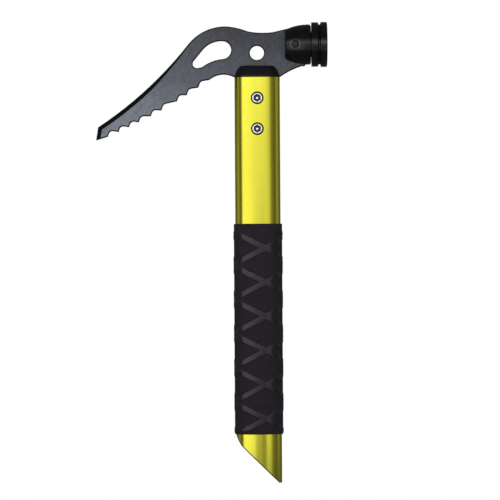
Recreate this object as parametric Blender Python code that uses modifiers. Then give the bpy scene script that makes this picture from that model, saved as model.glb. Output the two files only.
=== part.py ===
"""Piton hammer: a toothed steel pick plate with a turned poll, bolted into an oval tube handle.

Units are metres and +Z is up the shaft. +X points to the poll, and the plate's faces look along -Y and +Y.
The origin is the centre of the clip hole, on the plate's middle plane.
"""

import math

import bmesh
import bpy
from mathutils import Matrix, Vector

# Fits
GAP = 0.0003
CHORD_ERROR = 0.00003
CUT_MARGIN = 0.010
WELD = 0.000001
FLAT_WITHIN = math.radians(0.1)

# Pick plate, in side view: x towards the poll, z up
PLATE_THICKNESS = 0.0050
CLIP_HOLE_DIAMETER = 0.0093
TIP_POINT = (-0.1048, -0.0562)
TIP_CORNER = (-0.1035, -0.0477)
TIP_LAND = 0.0079
TIP_LAND_RISE = math.radians(17.5)
TOOTH_PITCHES = (0.0076, 0.0075, 0.0071, 0.0088, 0.0078, 0.0118, 0.0074, 0.0091, 0.0087)
TOOTH_LINE_RISE = math.radians(22.6)
TOOTH_LINE_RADIUS = 0.345
TOOTH_FRONT_RISE = math.radians(70)
TOOTH_FRONT_LENGTH = 0.0042
TOOTH_ROOT_RADIUS = 0.0025
ARCH_TOP = (-0.0215, -0.0139)
CHIN_MIDDLE = (0.0211, -0.0119)
CHIN_END = (0.0290, -0.0087)
SPINE_RISE = (-0.0745, -0.0256)
HUMP_START = (-0.0451, 0.0052)
HUMP_SHOULDER = (-0.0345, 0.0140)
HUMP_TOP = (-0.0205, 0.0173)
HUMP_FALL = (-0.0128, 0.0162)
DIP_START = (-0.0060, 0.0140)
DIP_BOTTOM = (0.0024, 0.0130)
DIP_END = (0.0106, 0.0134)
NOSE_RISE = math.radians(13.5)
NOSE_CORNER_RADIUS = 0.0010
SPINE_BEVEL = 0.0021
SPINE_BEVEL_FULL_TO = -0.075
SPINE_BEVEL_ENDS_AT = -0.044

# Teardrop slot in the plate: a large lobe, a small lobe and the two edges between them
SLOT_LARGE_CENTRE = (-0.0226, 0.0020)
SLOT_LARGE_RADIUS = 0.0059
SLOT_SMALL_CENTRE = (-0.0389, -0.0068)
SLOT_SMALL_RADIUS = 0.0029
SLOT_TOP_BEND = (-0.0304, 0.0061)
SLOT_TOP_TURN = (-0.0350, 0.0025)
SLOT_BOTTOM_BEND = (-0.0293, -0.0055)
SLOT_BOTTOM_TURN = (-0.0357, -0.0091)
SLOT_SMALL_MEETS_TOP = math.radians(142)

# Oval handle tube, cut off at an angle to make the spike
SHAFT_RIM_DROP = 0.0160
SHAFT_WIDTH = 0.0296
SHAFT_DEPTH = 0.0205
SHAFT_WALL = 0.0018
SHAFT_LENGTH = 0.2630
OVAL_SQUARENESS = 2.8
OVAL_POINTS = 48
SPIKE_ANGLE = math.radians(44.5)
SPIKE_TIP_FLAT = 0.00175
SPIKE_HEEL_RADIUS = 0.0180

# Tang of the plate and the two filler halves that clamp it inside the tube
TANG_WIDTH = 0.0240
TANG_LENGTH = 0.0440
TANG_CORNER_RADIUS = 0.0030
FILLER_LENGTH = 0.0460
FILLER_LEAD_IN = 0.0010
COLLAR_HEIGHT = 0.0072
COLLAR_TAPER = 0.0039
COLLAR_EDGE = 0.0010
# Shares of the collar's height and of its taper, up its rounded side
COLLAR_ROUNDING = ((0.6, 0.42), (0.9, 0.8), (1, 1))

# Screws through the handle, with sleeve nuts in front and washers under both heads
SCREW_DROP = 0.0135
SCREW_SPACING = 0.0200
SCREW_DIAMETER = 0.0034
HEAD_DIAMETER = 0.0070
HEAD_HEIGHT = 0.0026
HEAD_EDGE = 0.0006
SLEEVE_DIAMETER = 0.0058
SLEEVE_BORE = 0.0040
SLEEVE_LENGTH = 0.0140
NUT_SOCKET_FLATS = 0.0045
NUT_SOCKET_DEPTH = 0.0018
SCREW_SOCKET_FLATS = 0.0030
SCREW_SOCKET_DEPTH = 0.0015
WASHER_DIAMETER = 0.0079
WASHER_THICKNESS = 0.0008
WASHER_SEAT_DEPTH = 0.0011

# Rubber grip
GRIP_DROP = 0.0950
GRIP_LENGTH = 0.1365
GRIP_WALL = 0.0007
GRIP_CLEARANCE = 0.0002
GRIP_EDGE = 0.0002

# Poll, turned about an axis along +X
POLL_AXIS_HEIGHT = 0.0053
POLL_START = 0.0182
POLL_LENGTH = 0.0168
POLL_END_RADIUS = 0.0102
POLL_MIDDLE_RADIUS = 0.01265
POLL_RADIUS = 0.0130
POLL_EDGE = 0.0009
NECK_RADIUS = 0.0124
NECK_LENGTH = 0.0008
NOSE_SEAT_LENGTH = 0.0133
SPIGOT_RADIUS = 0.0080
SPIGOT_LENGTH = 0.0060
PIN_SETBACK = 0.0066
PIN_DIAMETER = 0.0052
PIN_EDGE = 0.0003

# Striking face, a cap screwed over the spigot
FACE_LENGTH = 0.0106
FACE_RADIUS = 0.01465
FACE_EDGE = 0.0007
BACK_RING_RADIUS = 0.01445
BACK_RING_LENGTH = 0.0044
BACK_RING_EDGE = 0.0004
GROOVE_WIDTH = 0.0017
GROOVE_FLOOR_WIDTH = 0.0005
GROOVE_RADIUS = 0.0130

TURN_STEPS = 40
SMALL_TURN_STEPS = 24
SMOOTH_BELOW = math.radians(35)

# Colour, roughness and metallic value of each material
STEEL_SATIN = ((0.085, 0.098, 0.122), 0.42, 0.9)
STEEL_BLACK = ((0.012, 0.010, 0.013), 0.35, 0.6)
STEEL_BRIGHT = ((0.72, 0.72, 0.74), 0.22, 1.0)
NYLON_BLACK = ((0.014, 0.012, 0.013), 0.45, 0.0)
ALUMINIUM_LIME = ((0.82, 0.74, 0.07), 0.30, 0.85)
RUBBER_BLACK = ((0.022, 0.018, 0.024), 0.75, 0.0)

SHAFT_RIM = -SHAFT_RIM_DROP
SHAFT_BORE_WIDTH = SHAFT_WIDTH - 2 * SHAFT_WALL
SHAFT_BORE_DEPTH = SHAFT_DEPTH - 2 * SHAFT_WALL
PLATE_SEAT = PLATE_THICKNESS / 2 + GAP
FILLER_WIDTH = SHAFT_BORE_WIDTH - 2 * GAP
FILLER_DEPTH = SHAFT_BORE_DEPTH - 2 * GAP
WASHER_SEAT = FILLER_DEPTH / 2 - WASHER_SEAT_DEPTH
HEAD_SEAT = WASHER_SEAT + WASHER_THICKNESS + 2 * GAP
HEAD_TOP = HEAD_SEAT + HEAD_HEIGHT
SCREW_HEIGHTS = {
    "upper": SHAFT_RIM - SCREW_DROP,
    "lower": SHAFT_RIM - SCREW_DROP - SCREW_SPACING,
}
POLL_END = POLL_START + POLL_LENGTH
NOSE_END = POLL_START + NOSE_SEAT_LENGTH
PIN_X = POLL_START + PIN_SETBACK
FACE_START = POLL_END + GAP
GRIP_BORE_WIDTH = SHAFT_WIDTH + 2 * GRIP_CLEARANCE
GRIP_BORE_DEPTH = SHAFT_DEPTH + 2 * GRIP_CLEARANCE

TOWARDS_POLL = (0, math.pi / 2, 0)
TOWARDS_FRONT = (math.pi / 2, 0, 0)
TOWARDS_REAR = (-math.pi / 2, 0, 0)
SIDE_VIEW = Matrix.Rotation(math.pi / 2, 4, "X")


def clear_scene():
    for obj in list(bpy.data.objects):
        bpy.data.objects.remove(obj, do_unlink=True)


def new_collection(name):
    group = bpy.data.collections.new(name)
    bpy.context.scene.collection.children.link(group)
    return group


def give_material(obj, finish):
    colour, roughness, metallic = finish
    material = bpy.data.materials.new(obj.name)
    material.use_nodes = True
    shader = material.node_tree.nodes["Principled BSDF"]
    shader.inputs["Base Color"].default_value = (*colour, 1)
    shader.inputs["Roughness"].default_value = roughness
    shader.inputs["Metallic"].default_value = metallic
    material.diffuse_color = (*colour, 1)
    obj.data.materials.append(material)


def add_piece(name, mesh, finish):
    obj = bpy.data.objects.new(name, mesh)
    parts.objects.link(obj)
    give_material(obj, finish)
    return obj


def add_cutter(name, mesh):
    obj = bpy.data.objects.new(name, mesh)
    cutters.objects.link(obj)
    obj.hide_render = True
    obj.display_type = "WIRE"
    return obj


def cut(piece, *tools):
    for tool in tools:
        modifier = piece.modifiers.new("Cut " + tool.name, "BOOLEAN")
        modifier.operation = "DIFFERENCE"
        modifier.solver = "EXACT"
        modifier.object = tool


def circle_through(first, second, third):
    """Centre and radius of the circle through three points of a plane."""
    a, b, c = (Vector(point) for point in (first, second, third))
    u, v = b - a, c - a
    doubled_area = 2 * (u.x * v.y - u.y * v.x)
    to_centre = Vector(
        (v.y * u.length_squared - u.y * v.length_squared, u.x * v.length_squared - v.x * u.length_squared)
    )
    to_centre /= doubled_area
    return a + to_centre, to_centre.length


def sweep(centre, radius, start_angle, turn):
    """Points along an arc, without its first point."""
    step = 2 * math.acos(1 - min(CHORD_ERROR / radius, 0.1))
    count = max(2, math.ceil(abs(turn) / step))
    angles = (start_angle + turn * i / count for i in range(1, count + 1))
    return [centre + radius * Vector((math.cos(angle), math.sin(angle))) for angle in angles]


def arc(start, through, end):
    """Points of the arc from start through a middle point to end, without start."""
    centre, radius = circle_through(start, through, end)
    a, b, c = (Vector(point) - centre for point in (start, through, end))
    first = math.atan2(a.y, a.x)
    to_middle = (math.atan2(b.y, b.x) - first) % math.tau
    turn = (math.atan2(c.y, c.x) - first) % math.tau
    return sweep(centre, radius, first, turn if to_middle < turn else turn - math.tau)


def rounded(before, corner, after, radius):
    """Points of the arc that rounds a corner between two straight lines."""
    corner = Vector(corner)
    back = (Vector(before) - corner).normalized()
    ahead = (Vector(after) - corner).normalized()
    half = back.angle(ahead) / 2
    run = min(radius / math.tan(half), (Vector(before) - corner).length, (Vector(after) - corner).length)
    centre = corner + (back + ahead).normalized() * run / math.cos(half)
    start, end = corner + back * run, corner + ahead * run
    middle = centre + (corner - centre).normalized() * (start - centre).length
    return [start] + arc(start, middle, end)


def circle(centre, diameter):
    return sweep(Vector(centre), diameter / 2, 0, math.tau)


def heading(angle):
    return Vector((math.cos(angle), math.sin(angle)))


def oval(width, depth):
    """A superellipse, which is the section of the handle."""
    power = 2 / OVAL_SQUARENESS
    points = []
    for i in range(OVAL_POINTS):
        c, s = heading(math.tau * i / OVAL_POINTS)
        points.append((math.copysign(abs(c) ** power, c) * width / 2, math.copysign(abs(s) ** power, s) * depth / 2))
    return points


def prism_mesh(name, loops, thickness, place):
    """A flat outline with holes, extruded evenly to both sides of its plane."""
    curve = bpy.data.curves.new(name, "CURVE")
    curve.dimensions = "2D"
    curve.fill_mode = "BOTH"
    curve.extrude = thickness / 2
    for loop in loops:
        spline = curve.splines.new("POLY")
        spline.points.add(len(loop) - 1)
        for point, (x, y) in zip(spline.points, loop):
            point.co = (x, y, 0, 1)
        spline.use_cyclic_u = True
    guide = bpy.data.objects.new(name, curve)
    cutters.objects.link(guide)
    mesh = bpy.data.meshes.new_from_object(guide.evaluated_get(bpy.context.evaluated_depsgraph_get()))
    bpy.data.objects.remove(guide, do_unlink=True)
    bm = bmesh.new()
    bm.from_mesh(mesh)
    bmesh.ops.remove_doubles(bm, verts=bm.verts, dist=WELD)
    bmesh.ops.dissolve_limit(bm, angle_limit=FLAT_WITHIN, verts=bm.verts, edges=bm.edges)
    bmesh.ops.transform(bm, matrix=place, verts=bm.verts)
    bmesh.ops.recalc_face_normals(bm, faces=bm.faces)
    bm.to_mesh(mesh)
    bm.free()
    mesh.name = name
    return mesh


def loft_mesh(name, sections):
    """A closed body through ovals, each given as its height, width and depth."""
    bm = bmesh.new()
    rings = [
        [bm.verts.new((x, y, height)) for x, y in oval(width, depth)] for height, width, depth in sections
    ]
    for lower, upper in zip(rings, rings[1:]):
        for i, corner in enumerate(lower):
            bm.faces.new((lower[i - 1], corner, upper[i], upper[i - 1]))
    bm.faces.new(reversed(rings[0]))
    bm.faces.new(rings[-1])
    return finished(bm, name)


def box_mesh(name, low, high):
    bm = bmesh.new()
    bmesh.ops.create_cube(bm, size=1)
    size = Vector(high) - Vector(low)
    bmesh.ops.scale(bm, vec=size, verts=bm.verts)
    bmesh.ops.translate(bm, vec=Vector(low) + size / 2, verts=bm.verts)
    return finished(bm, name)


def rod_mesh(name, diameter, low, high, sides=SMALL_TURN_STEPS):
    """A cylinder, or a hexagon for sides=6, between two distances along its own Z axis."""
    bm = bmesh.new()
    bmesh.ops.create_cone(
        bm, cap_ends=True, segments=sides, radius1=diameter / 2, radius2=diameter / 2, depth=high - low
    )
    bmesh.ops.translate(bm, vec=(0, 0, (low + high) / 2), verts=bm.verts)
    return finished(bm, name)


def finished(bm, name):
    mesh = bpy.data.meshes.new(name)
    bm.to_mesh(mesh)
    bm.free()
    return mesh


def turned_piece(name, profile, finish, steps, closed=False):
    """Spins a profile of radius and height points, listed down its outer side, about the piece's Z axis."""
    mesh = bpy.data.meshes.new(name)
    edges = [(i, i + 1) for i in range(len(profile) - 1)]
    if closed:
        edges.append((len(profile) - 1, 0))
    mesh.from_pydata([(radius, 0, height) for radius, height in profile], edges, [])
    obj = add_piece(name, mesh, finish)
    modifier = obj.modifiers.new("Turn", "SCREW")
    modifier.steps = steps
    modifier.render_steps = steps
    modifier.use_merge_vertices = True
    modifier.merge_threshold = WELD
    return obj


def across_handle(mesh_name, diameter, low, high, height, sides=SMALL_TURN_STEPS):
    """A cutter along Y through the handle, between two distances in front of the middle plane."""
    tool = add_cutter(mesh_name, rod_mesh(mesh_name, diameter, low, high, sides))
    tool.rotation_euler = TOWARDS_FRONT
    tool.location = (0, 0, height)
    return tool


def tooth_tips():
    """Tips of the teeth, from the end of the land at the point to the start of the arch."""
    tip = Vector(TIP_POINT) + TIP_LAND * heading(TIP_LAND_RISE)
    tips, travelled = [tip], 0
    for pitch in TOOTH_PITCHES:
        tip = tip + pitch * heading(TOOTH_LINE_RISE + (travelled + pitch / 2) / TOOTH_LINE_RADIUS)
        tips.append(tip)
        travelled += pitch
    return tips


def plate_underside():
    """From the pick's point along the teeth and the arch to the left shoulder.

    Each tooth has a steep front, a round root and a flatter back that runs out to the next tip.
    """
    tips = tooth_tips()
    points = [Vector(TIP_POINT), tips[0]]
    for tip, next_tip in zip(tips, tips[1:]):
        root = tip + TOOTH_FRONT_LENGTH * heading(TOOTH_FRONT_RISE)
        points += rounded(tip, root, next_tip, TOOTH_ROOT_RADIUS)
        points.append(next_tip)
    shoulder = Vector((-SHAFT_WIDTH / 2, SHAFT_RIM + GAP))
    return points + arc(tips[-1], ARCH_TOP, shoulder)


def plate_tang():
    """Shoulders that sit on the tube's rim, and the tang below them."""
    side, seat, end = TANG_WIDTH / 2, SHAFT_RIM + GAP, SHAFT_RIM - TANG_LENGTH
    points = [Vector((-side, seat))]
    points += rounded((-side, seat), (-side, end), (side, end), TANG_CORNER_RADIUS)
    points += rounded((-side, end), (side, end), (side, seat), TANG_CORNER_RADIUS)
    return points + [Vector((side, seat)), Vector((SHAFT_WIDTH / 2, seat))]


def plate_nose():
    """Underside, end and upper edge of the nose, which the poll is slotted over."""
    low = Vector((NOSE_END, CHIN_END[1]))
    high = Vector(DIP_END) + (NOSE_END - DIP_END[0]) / math.cos(NOSE_RISE) * heading(NOSE_RISE)
    points = arc((SHAFT_WIDTH / 2, SHAFT_RIM + GAP), CHIN_MIDDLE, CHIN_END)
    points += rounded(CHIN_END, low, high, NOSE_CORNER_RADIUS)
    return points + rounded(low, high, DIP_END, NOSE_CORNER_RADIUS)


def plate_spine():
    """Upper edge, from above the shaft over the hump and down to the pick's tip."""
    points = [Vector(DIP_END)] + arc(DIP_END, DIP_BOTTOM, DIP_START) + arc(DIP_START, HUMP_FALL, HUMP_TOP)
    return points + arc(HUMP_TOP, HUMP_SHOULDER, HUMP_START) + arc(HUMP_START, SPINE_RISE, TIP_CORNER)


def teardrop_slot():
    large, small = Vector(SLOT_LARGE_CENTRE), Vector(SLOT_SMALL_CENTRE)
    top = large + Vector((0, SLOT_LARGE_RADIUS))
    bottom = large - Vector((0, SLOT_LARGE_RADIUS))
    points = [Vector(SLOT_TOP_TURN)] + arc(SLOT_TOP_TURN, SLOT_TOP_BEND, top)
    points += sweep(large, SLOT_LARGE_RADIUS, math.pi / 2, -math.pi)
    points += arc(bottom, SLOT_BOTTOM_BEND, SLOT_BOTTOM_TURN)
    points.append(small - Vector((0, SLOT_SMALL_RADIUS)))
    return points + sweep(small, SLOT_SMALL_RADIUS, -math.pi / 2, SLOT_SMALL_MEETS_TOP - 1.5 * math.pi)


def spine_bevel_share(x):
    """Share of the full bevel that the spine has at x."""
    share = (SPINE_BEVEL_ENDS_AT - x) / (SPINE_BEVEL_ENDS_AT - SPINE_BEVEL_FULL_TO)
    return min(max(share, 0), 1)


def make_head_blade():
    spine = plate_spine()
    outline = plate_underside() + plate_tang() + plate_nose() + spine
    holes = [circle((0, 0), CLIP_HOLE_DIAMETER), teardrop_slot()]
    holes.append(circle((PIN_X, POLL_AXIS_HEIGHT), PIN_DIAMETER + 2 * GAP))
    holes += [circle((0, height), SLEEVE_DIAMETER + 2 * GAP) for height in SCREW_HEIGHTS.values()]
    mesh = prism_mesh("head_blade", [outline] + holes, PLATE_THICKNESS, SIDE_VIEW)
    weights = mesh.attributes.new("bevel_weight_edge", "FLOAT", "EDGE")
    upper_edge = {tuple(round(value, 6) for value in point) for point in spine + [Vector(TIP_POINT)]}
    for edge in mesh.edges:
        ends = [mesh.vertices[i].co for i in edge.vertices]
        on_edge = all((round(end.x, 6), round(end.z, 6)) in upper_edge for end in ends)
        if on_edge and abs(ends[0].y - ends[1].y) < CHORD_ERROR:
            weights.data[edge.index].value = spine_bevel_share((ends[0].x + ends[1].x) / 2)
    blade = add_piece("head_blade", mesh, STEEL_SATIN)
    bevel = blade.modifiers.new("Spine bevel", "BEVEL")
    bevel.limit_method = "WEIGHT"
    bevel.width = SPINE_BEVEL
    bevel.use_clamp_overlap = False


def make_shaft_tube():
    loops = [oval(SHAFT_WIDTH, SHAFT_DEPTH), oval(SHAFT_BORE_WIDTH, SHAFT_BORE_DEPTH)]
    middle = Matrix.Translation((0, 0, SHAFT_RIM - SHAFT_LENGTH / 2))
    tube = add_piece("shaft_tube", prism_mesh("shaft_tube", loops, SHAFT_LENGTH, middle), ALUMINIUM_LIME)
    for end, height in SCREW_HEIGHTS.items():
        reach = SHAFT_DEPTH / 2 + CUT_MARGIN
        cut(tube, across_handle(end + "_tube_hole", WASHER_DIAMETER + 2 * GAP, -reach, reach, height))
    cut(tube, add_cutter("spike_cut", prism_mesh("spike_cut", [spike_cut()], 2 * SHAFT_DEPTH, SIDE_VIEW)))


def spike_cut():
    """Side view of what is cut off the end of the tube, with a round heel at the sleeve's side."""
    tip = Vector((SHAFT_WIDTH / 2 - SPIKE_TIP_FLAT, SHAFT_RIM - SHAFT_LENGTH))
    down = heading(-SPIKE_ANGLE)
    heel = tip - (SHAFT_WIDTH - SPIKE_TIP_FLAT + 2 * GAP) / down.x * down
    above = heel + Vector((0, CUT_MARGIN))
    beyond = tip + CUT_MARGIN * down
    left = heel.x - CUT_MARGIN
    edge = [above] + rounded(above, heel, beyond, SPIKE_HEEL_RADIUS) + [beyond]
    return edge + [Vector((left, beyond.y)), Vector((left, above.y))]


def make_fillers():
    """The two halves that fill the tube round the tang and stand above its rim as a tapered collar."""
    collar_seat = SHAFT_RIM + GAP
    sections = [
        (SHAFT_RIM - FILLER_LENGTH, FILLER_WIDTH - FILLER_LEAD_IN, FILLER_DEPTH - FILLER_LEAD_IN),
        (SHAFT_RIM - FILLER_LENGTH + FILLER_LEAD_IN, FILLER_WIDTH, FILLER_DEPTH),
        (collar_seat, FILLER_WIDTH, FILLER_DEPTH),
        (collar_seat, SHAFT_WIDTH, SHAFT_DEPTH),
        (collar_seat + COLLAR_EDGE, SHAFT_WIDTH, SHAFT_DEPTH),
    ]
    for share, taper in COLLAR_ROUNDING:
        height = collar_seat + COLLAR_EDGE + share * (COLLAR_HEIGHT - COLLAR_EDGE)
        inset = 2 * taper * COLLAR_TAPER
        sections.append((height, SHAFT_WIDTH - inset, SHAFT_DEPTH - inset))
    reach = SHAFT_WIDTH + CUT_MARGIN
    low, high = SHAFT_RIM - FILLER_LENGTH - CUT_MARGIN, SHAFT_RIM + COLLAR_HEIGHT + CUT_MARGIN
    halves = {
        "front": ((-reach, -PLATE_SEAT, low), (reach, reach, high), 1),
        "rear": ((-reach, -reach, low), (reach, PLATE_SEAT, high), -1),
    }
    for side, (corner, opposite, outwards) in halves.items():
        name = "filler_" + side
        filler = add_piece(name, loft_mesh(name, sections), NYLON_BLACK)
        cut(filler, add_cutter(name + "_half", box_mesh(name + "_half", corner, opposite)))
        for end, height in SCREW_HEIGHTS.items():
            label = f"{end}_{side}_"
            bore = SLEEVE_DIAMETER + 2 * GAP
            cut(filler, across_handle(label + "bore", bore, -SHAFT_DEPTH, SHAFT_DEPTH, height))
            reaches = sorted((outwards * WASHER_SEAT, outwards * SHAFT_DEPTH))
            cut(filler, across_handle(label + "seat", WASHER_DIAMETER + 2 * GAP, *reaches, height))


def make_fasteners(end, height):
    """One sleeve nut in front, the screw that enters it from the rear, and a washer under each head."""
    head, sleeve, bore = HEAD_DIAMETER / 2, SLEEVE_DIAMETER / 2, SLEEVE_BORE / 2
    sleeve_end = HEAD_SEAT - SLEEVE_LENGTH
    nut_profile = [
        (head - HEAD_EDGE, HEAD_TOP),
        (head, HEAD_TOP - HEAD_EDGE),
        (head, HEAD_SEAT),
        (sleeve, HEAD_SEAT),
        (sleeve, sleeve_end),
        (bore, sleeve_end),
        (bore, HEAD_TOP),
    ]
    nut = turned_piece(end + "_sleeve_nut", nut_profile, STEEL_BRIGHT, SMALL_TURN_STEPS, closed=True)
    place(nut, TOWARDS_FRONT, height)
    add_socket(nut, NUT_SOCKET_FLATS, NUT_SOCKET_DEPTH)

    shank = SCREW_DIAMETER / 2
    shank_end = -(HEAD_TOP - NUT_SOCKET_DEPTH - GAP)
    screw_profile = [
        (0, HEAD_TOP),
        (head - HEAD_EDGE, HEAD_TOP),
        (head, HEAD_TOP - HEAD_EDGE),
        (head, HEAD_SEAT),
        (shank, HEAD_SEAT),
        (shank, shank_end),
        (0, shank_end),
    ]
    screw = turned_piece(end + "_screw", screw_profile, STEEL_BRIGHT, SMALL_TURN_STEPS)
    place(screw, TOWARDS_REAR, height)
    add_socket(screw, SCREW_SOCKET_FLATS, SCREW_SOCKET_DEPTH)

    sides = (("front", TOWARDS_FRONT, SLEEVE_DIAMETER), ("rear", TOWARDS_REAR, SCREW_DIAMETER))
    for side, rotation, through in sides:
        low, high = WASHER_SEAT + GAP, WASHER_SEAT + GAP + WASHER_THICKNESS
        inner, outer = through / 2 + GAP, WASHER_DIAMETER / 2
        profile = [(inner, high), (outer, high), (outer, low), (inner, low)]
        washer = turned_piece(f"{end}_{side}_washer", profile, STEEL_BLACK, SMALL_TURN_STEPS, closed=True)
        place(washer, rotation, height)


def place(piece, rotation, height):
    piece.rotation_euler = rotation
    piece.location = (0, 0, height)


def add_socket(piece, across_flats, depth):
    """A hexagon socket in a head."""
    name = piece.name + "_socket"
    across_corners = across_flats / math.cos(math.pi / 6)
    tool = add_cutter(name, rod_mesh(name, across_corners, HEAD_TOP - depth, HEAD_TOP + CUT_MARGIN, sides=6))
    tool.rotation_euler = piece.rotation_euler
    tool.location = piece.location
    cut(piece, tool)


def make_grip_sleeve():
    outer = oval(GRIP_BORE_WIDTH + 2 * GRIP_WALL, GRIP_BORE_DEPTH + 2 * GRIP_WALL)
    middle = Matrix.Translation((0, 0, SHAFT_RIM - GRIP_DROP - GRIP_LENGTH / 2))
    mesh = prism_mesh("grip_sleeve", [outer, oval(GRIP_BORE_WIDTH, GRIP_BORE_DEPTH)], GRIP_LENGTH, middle)
    sleeve = add_piece("grip_sleeve", mesh, RUBBER_BLACK)
    bevel = sleeve.modifiers.new("Soft ends", "BEVEL")
    bevel.width = GRIP_EDGE
    bevel.angle_limit = SMOOTH_BELOW


def poll_barrel():
    """The three points, as radius and x, that the poll's barrel curve passes through."""
    shoulder_x = POLL_END - NECK_LENGTH
    start_x = POLL_START + POLL_EDGE
    return (
        (POLL_RADIUS, shoulder_x),
        (POLL_MIDDLE_RADIUS, (shoulder_x + start_x) / 2),
        (POLL_END_RADIUS, start_x),
    )


def poll_radius_at(x):
    centre, radius = circle_through(*poll_barrel())
    return centre.x + math.sqrt(radius**2 - (x - centre.y) ** 2)


def make_poll_body():
    spigot_end = POLL_END + SPIGOT_LENGTH
    profile = [
        (0, spigot_end),
        (SPIGOT_RADIUS - POLL_EDGE, spigot_end),
        (SPIGOT_RADIUS, spigot_end - POLL_EDGE),
        (SPIGOT_RADIUS, POLL_END),
        (NECK_RADIUS, POLL_END),
        (NECK_RADIUS, POLL_END - NECK_LENGTH),
        poll_barrel()[0],
    ]
    profile += [tuple(point) for point in arc(*poll_barrel())]
    profile += [(POLL_END_RADIUS - POLL_EDGE, POLL_START), (0, POLL_START)]
    poll = turned_piece("poll_body", profile, STEEL_BLACK, TURN_STEPS)
    poll.rotation_euler = TOWARDS_POLL
    poll.location = (0, 0, POLL_AXIS_HEIGHT)

    reach = POLL_RADIUS + CUT_MARGIN
    corner = (POLL_START - CUT_MARGIN, -PLATE_SEAT, POLL_AXIS_HEIGHT - reach)
    opposite = (NOSE_END + GAP, PLATE_SEAT, POLL_AXIS_HEIGHT + reach)
    cut(poll, add_cutter("poll_slot", box_mesh("poll_slot", corner, opposite)))
    pin_hole = across_handle("poll_pin_hole", PIN_DIAMETER + 2 * GAP, -reach, reach, POLL_AXIS_HEIGHT)
    pin_hole.location.x = PIN_X
    cut(poll, pin_hole)


def make_poll_pin():
    """A cross pin whose flat ends lie just under the poll's round surface."""
    radius = PIN_DIAMETER / 2
    end = math.sqrt(poll_radius_at(PIN_X - radius) ** 2 - radius**2) - GAP
    profile = [
        (0, end),
        (radius - PIN_EDGE, end),
        (radius, end - PIN_EDGE),
        (radius, PIN_EDGE - end),
        (radius - PIN_EDGE, -end),
        (0, -end),
    ]
    pin = turned_piece("poll_pin", profile, STEEL_BLACK, SMALL_TURN_STEPS)
    pin.rotation_euler = TOWARDS_FRONT
    pin.location = (PIN_X, 0, POLL_AXIS_HEIGHT)


def make_striking_face():
    end = FACE_START + FACE_LENGTH
    ring_end = FACE_START + BACK_RING_LENGTH
    slope = (GROOVE_WIDTH - GROOVE_FLOOR_WIDTH) / 2
    bore, bore_end = SPIGOT_RADIUS + GAP, POLL_END + SPIGOT_LENGTH + GAP
    profile = [
        (0, end),
        (FACE_RADIUS - FACE_EDGE, end),
        (FACE_RADIUS, end - FACE_EDGE),
        (FACE_RADIUS, ring_end + GROOVE_WIDTH),
        (GROOVE_RADIUS, ring_end + GROOVE_WIDTH - slope),
        (GROOVE_RADIUS, ring_end + slope),
        (BACK_RING_RADIUS, ring_end),
        (BACK_RING_RADIUS, FACE_START + BACK_RING_EDGE),
        (BACK_RING_RADIUS - BACK_RING_EDGE, FACE_START),
        (bore, FACE_START),
        (bore, bore_end),
        (0, bore_end),
    ]
    face = turned_piece("striking_face", profile, STEEL_BLACK, TURN_STEPS)
    face.rotation_euler = TOWARDS_POLL
    face.location = (0, 0, POLL_AXIS_HEIGHT)


def smooth_round_faces():
    for obj in parts.objects:
        obj.data.shade_smooth()
        obj.data.set_sharp_from_angle(angle=SMOOTH_BELOW)


clear_scene()
parts = new_collection("piton_hammer")
cutters = new_collection("cutters")
cutters.hide_render = True
make_head_blade()
make_shaft_tube()
make_fillers()
for screw_end, screw_height in SCREW_HEIGHTS.items():
    make_fasteners(screw_end, screw_height)
make_grip_sleeve()
make_poll_body()
make_poll_pin()
make_striking_face()
smooth_round_faces()
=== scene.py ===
"""Piton hammer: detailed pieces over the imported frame, and the studio they are shown in.

Units are metres, and the origin is the clip hole's centre. +Z is up the handle, and +X points to the
striking face.
"""

import math
from bisect import bisect_right

import bmesh
import bpy
from mathutils import Matrix, Vector


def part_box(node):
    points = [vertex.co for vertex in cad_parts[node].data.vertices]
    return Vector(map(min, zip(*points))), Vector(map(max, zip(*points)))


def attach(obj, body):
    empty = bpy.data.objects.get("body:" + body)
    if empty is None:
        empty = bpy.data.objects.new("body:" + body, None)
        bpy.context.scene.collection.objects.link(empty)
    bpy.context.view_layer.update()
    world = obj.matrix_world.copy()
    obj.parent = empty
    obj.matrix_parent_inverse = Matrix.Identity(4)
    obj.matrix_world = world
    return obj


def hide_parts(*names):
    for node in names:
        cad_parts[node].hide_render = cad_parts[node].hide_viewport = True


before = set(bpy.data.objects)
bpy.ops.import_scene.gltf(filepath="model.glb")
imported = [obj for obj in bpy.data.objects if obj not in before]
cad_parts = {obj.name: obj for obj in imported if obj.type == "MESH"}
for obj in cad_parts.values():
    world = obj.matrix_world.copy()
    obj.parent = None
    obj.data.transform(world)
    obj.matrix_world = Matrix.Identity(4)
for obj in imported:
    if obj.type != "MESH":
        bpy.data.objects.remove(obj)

bl_info = {
    "name": "Piton Hammer",
    "version": (1, 0, 0),
    "blender": (4, 5, 0),
    "location": "View3D > Sidebar > Piton Hammer",
    "description": "Builds a climbing hammer with a pick plate, an oval tube handle and a ribbed grip",
    "category": "Object",
}

MM = 0.001
WELD = 0.000001
OVAL_SQUARENESS = 2.8
OVAL_STEPS = 160
TURN_STEPS = 96
SMALL_TURN_STEPS = 48
SMOOTH_BELOW = math.radians(40)
FLAT_WITHIN = math.radians(0.1)
EVEN_WEIGHT = 90
CUT_MARGIN = 0.010

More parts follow.
